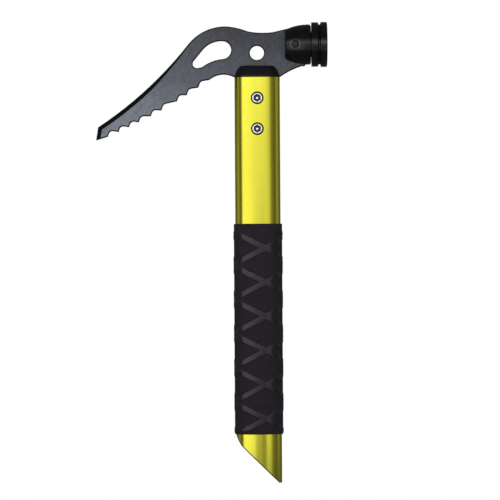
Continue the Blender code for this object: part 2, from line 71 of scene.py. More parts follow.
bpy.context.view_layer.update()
TUBE_LOW, TUBE_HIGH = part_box("shaft_tube")
GRIP_LOW, GRIP_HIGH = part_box("grip_sleeve")
POLL_LOW, POLL_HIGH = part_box("poll_body")
FACE_LOW, FACE_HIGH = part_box("striking_face")
PIN_LOW, PIN_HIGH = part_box("poll_pin")
TUBE_WIDTH, TUBE_DEPTH = TUBE_HIGH.x - TUBE_LOW.x, TUBE_HIGH.y - TUBE_LOW.y
GRIP_WIDTH, GRIP_DEPTH = GRIP_HIGH.x - GRIP_LOW.x, GRIP_HIGH.y - GRIP_LOW.y
PIN_X, PIN_WIDTH = (PIN_LOW.x + PIN_HIGH.x) / 2, PIN_HIGH.x - PIN_LOW.x
POLL_AXIS = (FACE_LOW.z + FACE_HIGH.z) / 2
ENDS = ("upper", "lower")

# Painted light on the plate, lighter towards the teeth as a painted reflection of the studio: how its tone
# changes per metre along X and Z, and the tones over the sum as positions and greys
PLATE_PAINTED_LIGHT_FALL = (-2.5, -10.6)
PLATE_PAINTED_LIGHT_TONES = ((0.09, 0.0), (0.19, 0.12), (0.315, 0.23), (0.50, 0.38), (0.765, 0.90), (0.95, 1.0))


def colour_setting(name, place, default):
    return bpy.props.FloatVectorProperty(
        name=name, description="Colour of the " + place, default=default, size=3, min=0, max=1,
        subtype="COLOR",
    )


def length_setting(name, description, default, low, high):
    return bpy.props.FloatProperty(
        name=name, description=description, default=default, min=low, max=high, precision=5,
        subtype="DISTANCE", unit="LENGTH",
    )


def level_setting(name, description, default, high):
    return bpy.props.FloatProperty(name=name, description=description, default=default, min=0, max=high)


class HeadSettings(bpy.types.PropertyGroup):
    plate_edge: length_setting(
        "Plate Edge", "Width of the soft edge round the plate's outline and holes", 0.0007, 0.0001, 0.0010
    )
    # Plate Shade and Plate Light are a shaded and a lit copy of the plate's steel, and the plate's painted
    # light runs between them
    plate_shade: colour_setting("Plate Shade", "steel above the handle", (0.051, 0.053, 0.063))
    plate_painted_light: colour_setting("Plate Light", "steel along the teeth", (0.202, 0.222, 0.258))
    plate_glint: colour_setting("Plate Specks", "bare specks in the plate's finish", (0.30, 0.33, 0.38))
    # The cut edge colour is partly the plate's black edge finish and partly painted shade for what its
    # rounded edges reflect
    edge_colour: colour_setting("Cut Edge", "plate's cut edges and ground spine", (0.004, 0.004, 0.005))
    poll_colour: colour_setting("Poll", "poll and the striking face", (0.0022, 0.0016, 0.003))
    # The pin ring colour is a painted highlight on the chamfer round the cross pin
    pin_highlight_colour: colour_setting("Pin Painted Highlight", "painted highlight ring round the cross pin", (0.075, 0.070, 0.078))


class HandleSettings(bpy.types.PropertyGroup):
    tube_colour: colour_setting("Tube", "anodised tube", (0.90, 0.84, 0.075))
    # The cut rim colour is painted shade: a dark band along the oblique cut
    cut_shade_colour: colour_setting("Cut Rim", "rim of the oblique cut", (0.045, 0.048, 0.018))
    collar_colour: colour_setting("Collar", "nylon collar", (0.005, 0.004, 0.006))
    grip_colour: colour_setting("Grip", "rubber between the ribs", (0.0085, 0.0048, 0.0105))
    rib_colour: colour_setting("Ribs", "rubber on top of the ribs", (0.0100, 0.0060, 0.0110))
    rib_width: length_setting("Rib Width", "Width of a rib at its foot", 0.0044, 0.0010, 0.0060)
    rib_height: length_setting("Rib Height", "Height of a rib above the sleeve", 0.00035, 0.0001, 0.0010)
    rib_rise: length_setting(
        "Rib Rise", "Height between two crossings above one another", 0.0222, 0.0100, 0.0400
    )
    rib_rounds: bpy.props.IntProperty(
        name="Diamonds Round", description="Number of diamonds round the grip", default=2, min=2, max=8,
    )


class FastenerSettings(bpy.types.PropertyGroup):
    bright_colour: colour_setting("Bright Steel", "plated screws and sleeve nuts", (0.90, 0.90, 0.92))
    washer_colour: colour_setting("Washers", "blackened washers", (0.004, 0.0035, 0.0045))
    head_edge: length_setting("Head Edge", "Rounding of a head's rim", 0.0006, 0.0001, 0.0012)


class StudioSettings(bpy.types.PropertyGroup):
    camera_distance: length_setting(
        "Camera Distance", "Distance from the camera to the plate's middle plane", 2.4, 0.5, 10
    )
    view_width: length_setting(
        "View Width", "Width that the camera sees at the plate's middle plane", 0.325, 0.1, 1
    )
    sky_level: level_setting("Sky Level", "Strength of the even light from all round", 0.7, 3)
    key_power: bpy.props.FloatProperty(
        name="Key Power", description="Power of the large lamp above the camera", default=20, min=0,
        unit="POWER",
    )
    screen_level: level_setting(
        "Screen Level", "Brightness of the soft window in the screen round the camera", 1.0, 4
    )
    screen_dark: level_setting("Screen Dark", "Brightness of the screen round its window", 0.10, 1)


class HammerSettings(bpy.types.PropertyGroup):
    head: bpy.props.PointerProperty(type=HeadSettings)
    handle: bpy.props.PointerProperty(type=HandleSettings)
    fasteners: bpy.props.PointerProperty(type=FastenerSettings)
    studio: bpy.props.PointerProperty(type=StudioSettings)


class NodeTree:
    """The shader nodes of a material or a world."""

    def __init__(self, owner):
        owner.use_nodes = True
        self.nodes = owner.node_tree.nodes
        self.links = owner.node_tree.links

    def fill(self, socket, value):
        """Feeds a socket with another node's output, or sets its own value."""
        if isinstance(value, bpy.types.NodeSocket):
            self.links.new(value, socket)
        else:
            socket.default_value = value

    def node(self, kind, *values, operation=None, **named):
        """A node with its first inputs filled in order, and others by name, with _ for a space."""
        node = self.nodes.new("ShaderNode" + kind)
        if operation:
            node.operation = operation
        for socket, value in zip(node.inputs, values):
            self.fill(socket, value)
        for name, value in named.items():
            self.fill(node.inputs[name.replace("_", " ")], value)
        return node

    def math(self, operation, *values):
        return self.node("Math", *values, operation=operation).outputs[0]

    def spread(self, value, low, high, start=0.0, end=1.0):
        """The value, moved from low and high to start and end, and held there beyond them."""
        return self.node(
            "MapRange", Value=value, From_Min=low, From_Max=high, To_Min=start, To_Max=end
        ).outputs["Result"]

    def seen(self):
        """1 for rays that show the background itself: camera, glossy and transmission rays."""
        rays = self.node("LightPath").outputs
        total = rays["Is Camera Ray"]
        for name in ("Is Glossy Ray", "Is Transmission Ray"):
            total = self.math("MAXIMUM", total, rays[name])
        return total

    def show(self, output, shader):
        self.links.new(shader.outputs[0], self.nodes[output].inputs["Surface"])


class Finish(NodeTree):
    """A procedural material: its shader, and the pattern nodes that feed it."""

    def __init__(self, name, colour, roughness, metallic=0.0, specular=0.5):
        self.material = bpy.data.materials.new(name)
        super().__init__(self.material)
        self.shader = self.nodes["Principled BSDF"]
        self.feed(
            Base_Color=(*colour, 1), Roughness=roughness, Metallic=metallic, Specular_IOR_Level=specular
        )
        self.material.diffuse_color = (*colour, 1)
        self.place = self.node("TexCoord").outputs["Object"]

    def feed(self, **inputs):
        """The material, once its shader's inputs, named with _ for a space, are filled."""
        for name, value in inputs.items():
            self.fill(self.shader.inputs[name.replace("_", " ")], value)
        return self.material

    def axes(self):
        """Each point's X, Y and Z."""
        return self.node("SeparateXYZ", Vector=self.place).outputs

    def from_axis(self, x, z):
        """Distance of each point from an axis along Y."""
        across, _, up = self.axes()
        flat = self.node("CombineXYZ", X=across, Z=up).outputs[0]
        return self.node("VectorMath", flat, (x, 0, z), operation="DISTANCE").outputs["Value"]

    def noise(self, scale=1.0, detail=4.0, roughness=0.55, stretch=None, lean=0, distortion=0.0):
        """Noise at a scale per metre, on coordinates turned about Y by degrees and then stretched."""
        place = self.place
        if lean:
            place = self.node("Mapping", Vector=place, Rotation=(0, math.radians(lean), 0)).outputs[0]
        if stretch:
            place = self.node("Mapping", Vector=place, Scale=stretch).outputs[0]
        return self.node(
            "TexNoise", Vector=place, Scale=scale, Detail=detail, Roughness=roughness, Distortion=distortion
        ).outputs["Fac"]

    def blend(self, share, first, second):
        node = self.nodes.new("ShaderNodeMix")
        node.data_type = "RGBA"
        self.fill(node.inputs["Factor"], share)
        sockets = [s for s in node.inputs if s.type == "RGBA"]
        for socket, value in zip(sockets, (first, second)):
            self.fill(socket, value if isinstance(value, bpy.types.NodeSocket) else (*value, 1))
        return [s for s in node.outputs if s.type == "RGBA"][0]

    def vary(self, share, colour, low, high):
        """The colour, from one multiple of itself to another."""
        return self.blend(share, scaled(colour, low), scaled(colour, high))

    def ramp(self, value, stops):
        """Greys over a value, from pairs of position and grey."""
        node = self.node("ValToRGB", Fac=value)
        elements = node.color_ramp.elements
        while len(elements) < len(stops):
            elements.new(1)
        for element, (position, grey) in zip(elements, stops):
            element.position = position
            element.color = (grey, grey, grey, 1)
        return node.outputs["Color"]

    def bump(self, height, distance, strength):
        return self.node("Bump", Height=height, Distance=distance, Strength=strength).outputs["Normal"]


def scaled(colour, factor):
    return tuple(min(channel * factor, 1) for channel in colour)


def plate_steel(settings):
    """Satin blue-grey steel with painted light, lighter towards the teeth as a painted reflection, and with
    clouds, a rubbed streak, mottling and grain.
    """
    shade, glint = settings.plate_shade, settings.plate_glint
    finish = Finish("Satin Steel", shade, 0.40, metallic=0.6, specular=0.3)
    x, _, z = finish.axes()
    # Painted light: the tone runs from the shaded copy above the handle to the lit copy along the teeth, as
    # a painted reflection of the studio
    along, up = PLATE_PAINTED_LIGHT_FALL
    painted_fall = finish.math("MULTIPLY_ADD", z, up, finish.math("MULTIPLY", x, along))
    clouds = finish.noise(75, detail=6, roughness=0.62, distortion=0.8)
    value = finish.math("ADD", painted_fall, finish.spread(clouds, 0.3, 0.7, 0.10, 0.28))
    tone = finish.blend(finish.ramp(value, PLATE_PAINTED_LIGHT_TONES), shade, settings.plate_painted_light)
    streak = finish.noise(roughness=0.6, stretch=(46, 46, 210), lean=45)
    tone = finish.blend(finish.spread(streak, 0.55, 0.72, 0.0, 0.35), tone, scaled(shade, 0.8))
    mottle = finish.noise(detail=5, roughness=0.75, stretch=(330, 330, 900), lean=50, distortion=0.4)
    tone = finish.blend(finish.spread(mottle, 0.48, 0.66, 0.0, 0.26), tone, scaled(shade, 0.4))
    tone = finish.blend(finish.spread(mottle, 0.34, 0.50, 0.08, 0.0), tone, glint)
    grain = finish.noise(detail=3, roughness=0.7, stretch=(900, 900, 2600))
    tone = finish.blend(finish.spread(grain, 0.5, 0.75, 0.0, 0.10), tone, glint)
    dull = finish.spread(clouds, 0.3, 0.7, 0.36, 0.46)
    return finish.feed(Base_Color=tone, Roughness=dull, Normal=finish.bump(grain, 0.02 * MM, 0.35))


def plate_edge_steel(settings):
    """Cut edges painted near-black, partly a black finish and partly painted shade for the dark surroundings
    their rounded faces reflect, with faint rubbed spots.
    """
    finish = Finish("Black Edge With Painted Shade", settings.edge_colour, 0.45, specular=0.06)
    rub = finish.spread(finish.noise(700), 0.55, 0.8, 0.0, 0.3)
    tone = finish.blend(rub, settings.edge_colour, scaled(settings.plate_shade, 0.6))
    return finish.feed(Base_Color=tone, Normal=finish.bump(finish.noise(1600, detail=3), 0.03 * MM, 0.4))


def black_steel(name, colour, roughness=0.15, specular=0.5, highlight_share=None, highlight_colour=None):
    """Turned steel with a black coat that may carry a ring of painted highlight, its turning marks round an
    axis along X.
    """
    finish = Finish(name, colour, roughness, specular=specular)
    wear = finish.noise(260, detail=5, roughness=0.65)
    tone = finish.vary(finish.spread(wear, 0.5, 0.85, 0.0, 0.5), colour, 1, 2.6)
    if highlight_share:
        tone = finish.blend(highlight_share(finish), tone, highlight_colour)
    dull = finish.spread(wear, 0.3, 0.7, roughness - 0.03, roughness + 0.07)
    turning = finish.noise(detail=3, stretch=(3500, 60, 60))
    return finish.feed(Base_Color=tone, Roughness=dull, Normal=finish.bump(turning, 0.015 * MM, 0.3))


def nylon(settings):
    """Moulded black nylon with a slight sheen and a fine spark texture."""
    finish = Finish("Black Nylon", settings.collar_colour, 0.38, specular=0.35)
    grain = finish.noise(2200, detail=3)
    tone = finish.vary(finish.noise(150), settings.collar_colour, 0.8, 1.4)
    dull = finish.spread(grain, 0.3, 0.7, 0.33, 0.45)
    return finish.feed(Base_Color=tone, Roughness=dull, Normal=finish.bump(grain, 0.03 * MM, 0.3))


def anodised(settings, cut_shade_share):
    """Lime anodised aluminium, with fine drawing lines, a few light scratches and a dark rim of painted
    shade along the cut.
    """
    colour = settings.tube_colour
    finish = Finish("Lime Anodised", colour, 0.18, metallic=1.0)
    drawn = finish.noise(roughness=0.65, stretch=(2600, 2600, 22))
    tone = finish.vary(finish.spread(drawn, 0.3, 0.7), colour, 0.97, 1.02)
    scuffs = finish.noise(detail=2, roughness=0.8, stretch=(420, 420, 90))
    tone = finish.blend(finish.spread(scuffs, 0.70, 0.80, 0.0, 0.35), tone, scaled(colour, 0.82))
    # Painted shade: a dark band along the oblique cut
    tone = finish.blend(cut_shade_share(finish), tone, settings.cut_shade_colour)
    patches = finish.spread(finish.noise(60), 0.35, 0.65, -0.01, 0.02)
    dull = finish.math("ADD", finish.spread(drawn, 0.3, 0.7, 0.15, 0.20), patches)
    return finish.feed(Base_Color=tone, Roughness=dull, Normal=finish.bump(drawn, 0.012 * MM, 0.35))


def rubber(settings):
    """Matt rubber whose ribs are rubbed lighter, with a fine moulded grain."""
    finish = Finish("Grip Rubber", settings.grip_colour, 0.72)
    rib = finish.node("Attribute")
    rib.attribute_name = "rib"
    share = rib.outputs["Fac"]
    grain = finish.noise(1500, roughness=0.6)
    dust = finish.noise(180, detail=5, roughness=0.6)
    between = finish.vary(finish.spread(dust, 0.35, 0.75), settings.grip_colour, 0.85, 1.35)
    worn = finish.vary(finish.spread(dust, 0.3, 0.7), settings.rib_colour, 0.85, 1.12)
    tone = finish.blend(share, between, worn)
    dull = finish.math("MULTIPLY_ADD", share, -0.57, finish.spread(grain, 0.3, 0.7, 0.74, 0.86))
    return finish.feed(Base_Color=tone, Roughness=dull, Normal=finish.bump(grain, 0.06 * MM, 0.5))


def bright_steel(settings):
    """Plated steel with rubbed patches and a fine grain."""
    finish = Finish("Bright Steel", settings.bright_colour, 0.22, metallic=1.0)
    rubbed = finish.noise(900)
    tone = finish.vary(finish.spread(rubbed, 0.35, 0.7), settings.bright_colour, 0.88, 1.1)
    dull, grain = finish.spread(rubbed, 0.3, 0.7, 0.17, 0.30), finish.noise(2600, detail=2)
    return finish.feed(Base_Color=tone, Roughness=dull, Normal=finish.bump(grain, 0.01 * MM, 0.3))


def socket_shade_steel(settings):
    """The darker broached steel inside a socket, partly its own dark steel and partly painted shade in the
    recess.
    """
    colour = scaled(settings.bright_colour, 0.06)
    finish = Finish("Socket Steel And Shade", colour, 0.4, metallic=1.0)
    tone = finish.vary(finish.noise(900), colour, 0.7, 1.3)
    return finish.feed(Base_Color=tone, Normal=finish.bump(finish.noise(2600, detail=2), 0.01 * MM, 0.4))


def oval_point(angle, width, depth):
    """Point on the superellipse that is the handle's section."""
    power = 2 / OVAL_SQUARENESS
    sides = ((math.cos(angle), width), (math.sin(angle), depth))
    return Vector([math.copysign(abs(unit) ** power, unit) * side / 2 for unit, side in sides])


class OvalPath:
    """The oval section measured along its length, from the middle of the rear side, turning past +X."""

    SAMPLES = 2880

    def __init__(self, width, depth):
        angles = (math.pi / 2 - math.tau * i / self.SAMPLES for i in range(self.SAMPLES + 1))
        self.points = [oval_point(angle, width, depth) for angle in angles]
        self.lengths = [0.0]
        for a, b in zip(self.points, self.points[1:]):
            self.lengths.append(self.lengths[-1] + (b - a).length)
        self.length = self.lengths[-1]

    def sample(self, distance):
        """The sample before a distance along the path, and the share of the step that lies before it."""
        low = min(bisect_right(self.lengths, distance), self.SAMPLES) - 1
        return low, (distance - self.lengths[low]) / (self.lengths[low + 1] - self.lengths[low])

    def place(self, distance, outward):
        """Point at a distance along the path, moved outward."""
        low, share = self.sample(min(max(distance, 0.0), self.length))
        ahead = self.points[low + 1] - self.points[low]
        return self.points[low] + ahead * share + Vector((-ahead.y, ahead.x)).normalized() * outward

    def even_angles(self, steps):
        """Angles that space points evenly round the section."""
        samples = (self.sample(self.length * i / steps) for i in range(steps))
        return [math.pi / 2 - math.tau * (low + share) / self.SAMPLES for low, share in samples]


def oval_ring(sections):
    """Drives an oval of points through sections of height, width and depth, and back to the first."""
    angles = OvalPath(*sections[0][1:]).even_angles(OVAL_STEPS)
    bm = bmesh.new()
    ring = bmesh.ops.create_circle(bm, cap_ends=False, radius=1, segments=OVAL_STEPS)["verts"]
    edges = list(bm.edges)
    for number, (height, width, depth) in enumerate(sections + sections[:1]):
        if number:
            made = bmesh.ops.extrude_edge_only(bm, edges=edges)["geom"]
            fresh = {v for v in made if isinstance(v, bmesh.types.BMVert)}
            edges = [e for e in made if isinstance(e, bmesh.types.BMEdge) and set(e.verts) <= fresh]
            following = {e.other_vert(v): v for v in fresh for e in v.link_edges}
            ring = [following[vert] for vert in ring]
        for vert, angle in zip(ring, angles):
            vert.co = oval_point(angle, width, depth).to_3d() + Vector((0, 0, height))
    weld(bm)
    bmesh.ops.recalc_face_normals(bm, faces=bm.faces)
    return bm


def turned(profile, axis, through, steps=TURN_STEPS, closed=False):
    """Spins a profile of (distance along the axis, radius) points about an axis along +X or +Y."""
    bm = bmesh.new()
    across = Vector((0, 0, 1))
    verts = [bm.verts.new(Vector(through) + axis * along + across * radius) for along, radius in profile]
    edges = [bm.edges.new(pair) for pair in zip(verts, verts[1:])]
    if closed:
        edges.append(bm.edges.new((verts[-1], verts[0])))
    bmesh.ops.spin(
        bm, geom=verts + edges, cent=through, axis=axis, dvec=(0, 0, 0), angle=math.tau, steps=steps,
        use_merge=True, use_duplicate=False,
    )
    weld(bm)
    bmesh.ops.recalc_face_normals(bm, faces=bm.faces)
    return bm


def box_between(low, high):
    low, high = Vector(low), Vector(high)
    bm = bmesh.new()
    bmesh.ops.create_cube(bm, size=1, matrix=Matrix.LocRotScale((low + high) / 2, None, high - low))
    return bm


def rod_across(diameter, low, high, height, x=0.0, sides=SMALL_TURN_STEPS):
    """A rod along Y, from low to high, or a hexagon for sides=6."""
    place = Matrix.Translation((x, (low + high) / 2, height)) @ Matrix.Rotation(math.pi / 2, 4, "X")
    bm = bmesh.new()
    bmesh.ops.create_cone(
        bm, cap_ends=True, segments=sides, radius1=diameter / 2, radius2=diameter / 2, depth=high - low,
        matrix=place,
    )
    return bm


def weld(bm, within=WELD):
    bmesh.ops.remove_doubles(bm, verts=bm.verts, dist=within)


def cut_plane(bm, point, normal, clear=True):
    """Cuts a mesh along a plane, and clears away what lies on the normal's side."""
    bmesh.ops.bisect_plane(
        bm, geom=bm.verts[:] + bm.edges[:] + bm.faces[:], dist=WELD, plane_co=point, plane_no=normal,
        clear_outer=clear,
    )


def linked(name, bm):
    """An object in the scene that takes over the mesh."""
    mesh = bpy.data.meshes.new(name)
    bm.to_mesh(mesh)
    bm.free()
    obj = bpy.data.objects.new(name, mesh)
    bpy.context.scene.collection.objects.link(obj)
    return obj


def carve(bm, tools):
    """The body with the tools cut out of it."""
    body = linked("body", bm)
    cutters = [linked("tool", tool) for tool in tools]
    for cutter in cutters:
        modifier = body.modifiers.new("Cut", "BOOLEAN")
        modifier.operation = "DIFFERENCE"
        modifier.solver = "EXACT"
        modifier.object = cutter
    mesh = bpy.data.meshes.new_from_object(body.evaluated_get(bpy.context.evaluated_depsgraph_get()))
    for obj in [body] + cutters:
        bpy.data.objects.remove(obj, do_unlink=True)
    carved = bmesh.new()
    carved.from_mesh(mesh)
    weld(carved)
    return carved


def soften(bm, width, above, segments=2, chosen=None):
    """Rounds the edges that turn by more than some degrees, or the chosen ones among them."""
    sharp = [e for e in bm.edges if len(e.link_faces) == 2 and e.calc_face_angle(0) > math.radians(above)]
    edges = [e for e in sharp if chosen(e)] if chosen else sharp
    bmesh.ops.bevel(
        bm, geom=edges, offset=width, offset_type="OFFSET", affect="EDGES", segments=segments,
        profile=0.5, material=-1, clamp_overlap=True,
    )


def round_span(node):
    """Ends along Y, height and radius of a round node that lies across the handle."""
    low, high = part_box(node)
    return low.y, high.y, (low.z + high.z) / 2, (high.x - low.x) / 2


def node_body(node):
    """A merged copy of a frame node, with its flat sides in one face each."""
    bm = bmesh.new()
    bm.from_mesh(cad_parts[node].data)
    weld(bm)
    bmesh.ops.dissolve_limit(bm, angle_limit=FLAT_WITHIN, verts=bm.verts, edges=bm.edges)
    return bm


def finished(name, bm, node, materials, smooth_below=SMOOTH_BELOW):
    """Makes the piece, which stands for a frame node and rides with it."""
    piece = linked(name, bm)
    piece.data.shade_smooth()
    piece.data.set_sharp_from_angle(angle=smooth_below)
    for material in materials:
        piece.data.materials.append(material)
    even = piece.modifiers.new("Even Shading", "WEIGHTED_NORMAL")
    even.weight = EVEN_WEIGHT
    even.keep_sharp = True
    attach(piece, "root")
    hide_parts(node)


class HAMMER_OT_pick_plate(bpy.types.Operator):
    """Build the pick plate, with soft near-black edges round its outline, teeth and holes, partly a black
    finish and partly painted shade
    """

    bl_idname = "hammer.pick_plate"
    bl_label = "Pick Plate"

    EDGE_FALL = 0.2 * MM
    CORNER = 0.15 * MM
    FLAT = 0.999

    def execute(self, context):
        settings = context.scene.hammer.head
        bm = node_body("head_blade")
        half = max(abs(v.co.y) for v in bm.verts)
        flats = [f for f in bm.faces if abs(f.normal.y) > self.FLAT]
        for side in (-1, 1):
            faces = [f for f in flats if f.normal.y * side > 0]
            bmesh.ops.inset_region(
                bm, faces=faces, thickness=settings.plate_edge, depth=0, use_boundary=True,
                use_even_offset=True,
            )
        inner = {v for f in flats for v in f.verts}
        for vert in bm.verts:
            if vert not in inner and abs(abs(vert.co.y) - half) < WELD:
                vert.co.y -= math.copysign(self.EDGE_FALL, vert.co.y)
        soften(bm, self.CORNER, above=50)
        bm.normal_update()
        # Faces off the flats take the near-black edge steel: partly a black finish, partly painted shade
        for face in bm.faces:
            face.material_index = int(abs(face.normal.y) < self.FLAT)
        materials = [plate_steel(settings), plate_edge_steel(settings)]
        finished("pick_plate", bm, "head_blade", materials)
        return {"FINISHED"}


def arc_through(first, second, third, steps):
    """Points on the circle through three points of a plane, from the first to the third."""
    a, b, c = Vector(first), Vector(second), Vector(third)
    u, v = b - a, c - a
    doubled = 2 * (u.x * v.y - u.y * v.x)
    centre = a + Vector(
        (v.y * u.length_squared - u.y * v.length_squared, u.x * v.length_squared - v.x * u.length_squared)
    ) / doubled
    start, turn = a - centre, (a - centre).angle_signed(c - centre)
    return [centre + Matrix.Rotation(-turn * i / steps, 2) @ start for i in range(steps + 1)]


class HAMMER_OT_poll(bpy.types.Operator):
    """Build the turned poll, its striking face and its cross pin"""

    bl_idname = "hammer.poll"
    bl_label = "Poll and Striking Face"

    AXIS = Vector((1, 0, 0))
    SPIGOT_LENGTH = 6.0 * MM
    SPIGOT_ROOM = 0.3 * MM
    NECK_LENGTH = 0.5 * MM
    NECK_RADIUS = 12.4 * MM
    RADIUS = 13.0 * MM
    MIDDLE_RADIUS = 12.65 * MM
    END_RADIUS = 10.2 * MM
    BARREL_STEPS = 24
    EDGE = 0.9 * MM
    EDGE_MIDDLE = (0.25 * MM, 0.3 * MM)
    CORNER = 0.15 * MM
    SLOT = 5.6 * MM
    SLOT_ROOM = 0.3 * MM
    # Of the crowned face, from its middle out: mm below its middle, and mm within its radius
    CROWN = ((0, 14.65), (0.02, 10.65), (0.12, 3), (0.25, 0.9), (0.45, 0.3), (0.9, 0))
    FACE_RADIUS = 14.65 * MM
    FACE_CORNER = 0.2 * MM
    RING_RADIUS = 14.45 * MM
    RING_LENGTH = 4.4 * MM
    GROOVE_WIDTH = 1.7 * MM
    GROOVE_SLOPE = 0.5 * MM
    GROOVE_RADIUS = 13.0 * MM
    BORE_RADIUS = 8.3 * MM
    BORE_ROOM = 0.3 * MM
    PIN_ROOM = 0.1 * MM
    PIN_NEAR = 0.02 * MM
    PIN_CHAMFER = 0.35 * MM
    PIN_EDGE = 0.3 * MM
    PIN_EDGE_MIDDLE = 0.1 * MM
    DIMPLE_RADIUS = 1.5 * MM
    DIMPLE_DEPTH = 0.5 * MM
    DIMPLE_SLOPE = 0.3 * MM
    # Ring of painted highlight round the cross pin: its radius, where it fades out across its width, and the
    # distances beside the pin over which it grows from its least share to full
    HIGHLIGHT_RADIUS = 3.0 * MM
    HIGHLIGHT_WIDTH = (0.2 * MM, 0.42 * MM)
    HIGHLIGHT_SIDES = (1.4 * MM, 2.6 * MM)
    HIGHLIGHT_LEAST = 0.2

    def execute(self, context):
        settings = context.scene.hammer.head
        material = black_steel("Black Steel", settings.poll_colour)
        # The barrel's lighter ring round the cross pin is a painted highlight
        barrel = black_steel(
            "Black Barrel", settings.poll_colour, 0.23, 0.42, self.pin_highlight_ring, settings.pin_highlight_colour
        )
        self.make_poll(barrel)
        self.make_face(material)
        self.make_pin(barrel)
        return {"FINISHED"}

    def pin_highlight_ring(self, finish):
        """1 on the ring of painted highlight round the cross pin, strongest on its two sides, and 0 away
        from it.
        """
        out = finish.from_axis(PIN_X, POLL_AXIS)
        away = finish.math("ABSOLUTE", finish.math("SUBTRACT", out, self.HIGHLIGHT_RADIUS))
        beside = finish.math("ABSOLUTE", finish.math("SUBTRACT", finish.axes()["X"], PIN_X))
        sides = finish.spread(beside, *self.HIGHLIGHT_SIDES, self.HIGHLIGHT_LEAST, 1.0)
        return finish.math("MULTIPLY", finish.spread(away, *self.HIGHLIGHT_WIDTH, 1.0, 0.0), sides)

    def make_poll(self, material):
        start, spigot_end = POLL_LOW.x, POLL_HIGH.x
        end = spigot_end - self.SPIGOT_LENGTH
        spigot = self.BORE_RADIUS - self.SPIGOT_ROOM
        shoulder, first = end - self.NECK_LENGTH, start + self.EDGE
        middle = ((shoulder + first) / 2, self.MIDDLE_RADIUS)
        barrel = arc_through((shoulder, self.RADIUS), middle, (first, self.END_RADIUS), self.BARREL_STEPS)
        along, down = self.EDGE_MIDDLE
        profile = [
            (spigot_end, 0), (spigot_end, spigot), (end, spigot),
            (end, self.NECK_RADIUS), (shoulder, self.NECK_RADIUS), *(tuple(point) for point in barrel),
            (start + along, self.END_RADIUS - down), (start, self.END_RADIUS - self.EDGE), (start, 0),
        ]
        bm = turned(profile, self.AXIS, (0, 0, POLL_AXIS))
        reach, half = self.RADIUS + CUT_MARGIN, self.SLOT / 2
        nose_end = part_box("head_blade")[1].x + self.SLOT_ROOM
        slot = box_between(
            (start - CUT_MARGIN, -half, POLL_AXIS - reach), (nose_end, half, POLL_AXIS + reach)
        )
        width = PIN_WIDTH + self.PIN_ROOM
        bm = carve(bm, [slot, rod_across(width, -reach, reach, POLL_AXIS, PIN_X)])

        def by_pin(edge):
            away = (math.hypot(v.co.x - PIN_X, v.co.z - POLL_AXIS) - width / 2 for v in edge.verts)
            return all(abs(distance) < self.PIN_NEAR for distance in away)

        soften(bm, self.PIN_CHAMFER, above=35, segments=3, chosen=by_pin)
        soften(bm, self.CORNER, above=35)
        finished("poll_barrel", bm, "poll_body", [material])

    def make_face(self, material):
        start, end = FACE_LOW.x, FACE_HIGH.x
        ring_end = start + self.RING_LENGTH
        groove_end = ring_end + self.GROOVE_WIDTH
        bore_end = POLL_HIGH.x + self.BORE_ROOM
        profile = [(end - below * MM, self.FACE_RADIUS - within * MM) for below, within in self.CROWN]
        profile += [
            (groove_end, self.FACE_RADIUS), (groove_end - self.GROOVE_SLOPE, self.GROOVE_RADIUS),
            (ring_end + self.GROOVE_SLOPE, self.GROOVE_RADIUS), (ring_end, self.RING_RADIUS),
            (start, self.RING_RADIUS), (start, self.BORE_RADIUS), (bore_end, self.BORE_RADIUS),
            (bore_end, 0),
        ]
        bm = turned(profile, self.AXIS, (0, 0, POLL_AXIS))
        soften(bm, self.FACE_CORNER, above=35)
        finished("hammer_face", bm, "striking_face", [material])

    def make_pin(self, material):
        radius, edge, middle = PIN_WIDTH / 2, self.PIN_EDGE, self.PIN_EDGE_MIDDLE
        half = (
            (self.DIMPLE_DEPTH, 0), (self.DIMPLE_DEPTH, self.DIMPLE_RADIUS - self.DIMPLE_SLOPE),
            (0, self.DIMPLE_RADIUS), (0, radius - edge), (middle, radius - middle), (edge, radius),
        )
        profile = [(PIN_LOW.y + inward, out) for inward, out in half]
        profile += [(PIN_HIGH.y - inward, out) for inward, out in reversed(half)]
        bm = turned(profile, Vector((0, 1, 0)), (PIN_X, 0, POLL_AXIS), SMALL_TURN_STEPS)
        finished("cross_pin", bm, "poll_pin", [material])


class HAMMER_OT_collar(bpy.types.Operator):
    """Build the two nylon halves that clamp the plate and stand above the tube as a collar"""

    bl_idname = "hammer.collar"
    bl_label = "Collar Halves"

    EDGE = 0.18 * MM

    def execute(self, context):
        material = nylon(context.scene.hammer.handle)
        for side in ("front", "rear"):
            bm = node_body("filler_" + side)
            soften(bm, self.EDGE, above=35)
            finished("collar_" + side, bm, "filler_" + side, [material])
        return {"FINISHED"}


